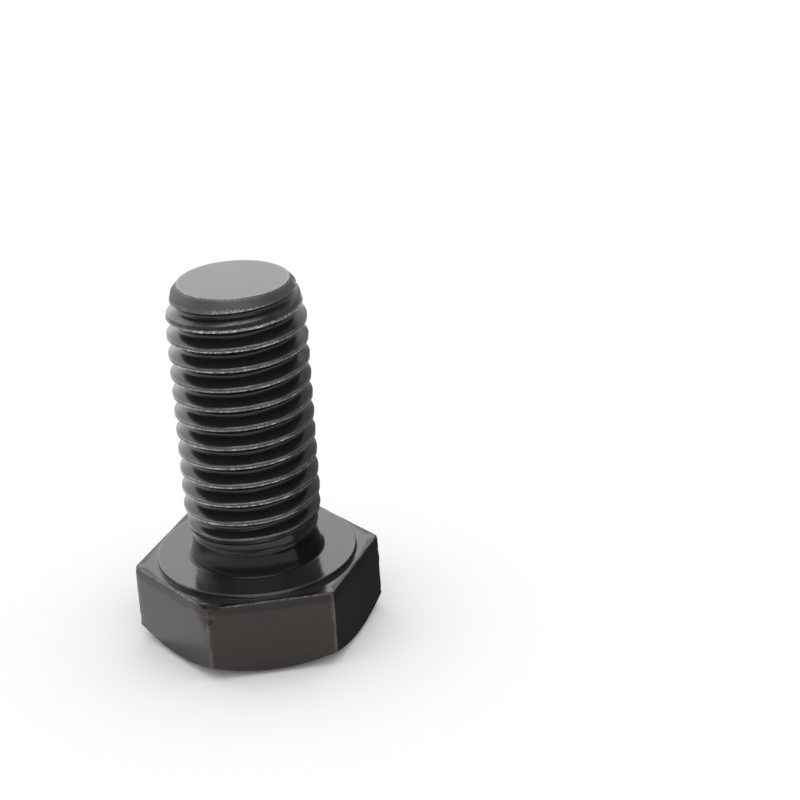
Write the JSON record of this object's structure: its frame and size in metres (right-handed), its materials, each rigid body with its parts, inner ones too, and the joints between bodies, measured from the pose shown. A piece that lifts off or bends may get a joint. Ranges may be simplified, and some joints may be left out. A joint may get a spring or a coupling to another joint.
{
  "type": "hex bolt",
  "caption": "Fully threaded metric hex bolt with a washer-faced, chamfered hexagon head, black oxide on steel, for clamping parts together through a hole or into a tapped one.",
  "frame": {"origin": "centre of the head's outer face, which the bolt stands on", "axes": "+Z runs along the shank from the head to the threaded end, +X points to a corner of the hexagon, and the flats face +Y, -Y and 60 degrees either side"},
  "size_m": [0.0216, 0.0186, 0.0324],
  "materials": {
    "black_oxide_steel": "black oxide on forged and rolled carbon steel, satin with an oiled sheen"
  },
  "bodies": {
    "root": {"hex_bolt": "black_oxide_steel"}
  },
  "joints": []
}
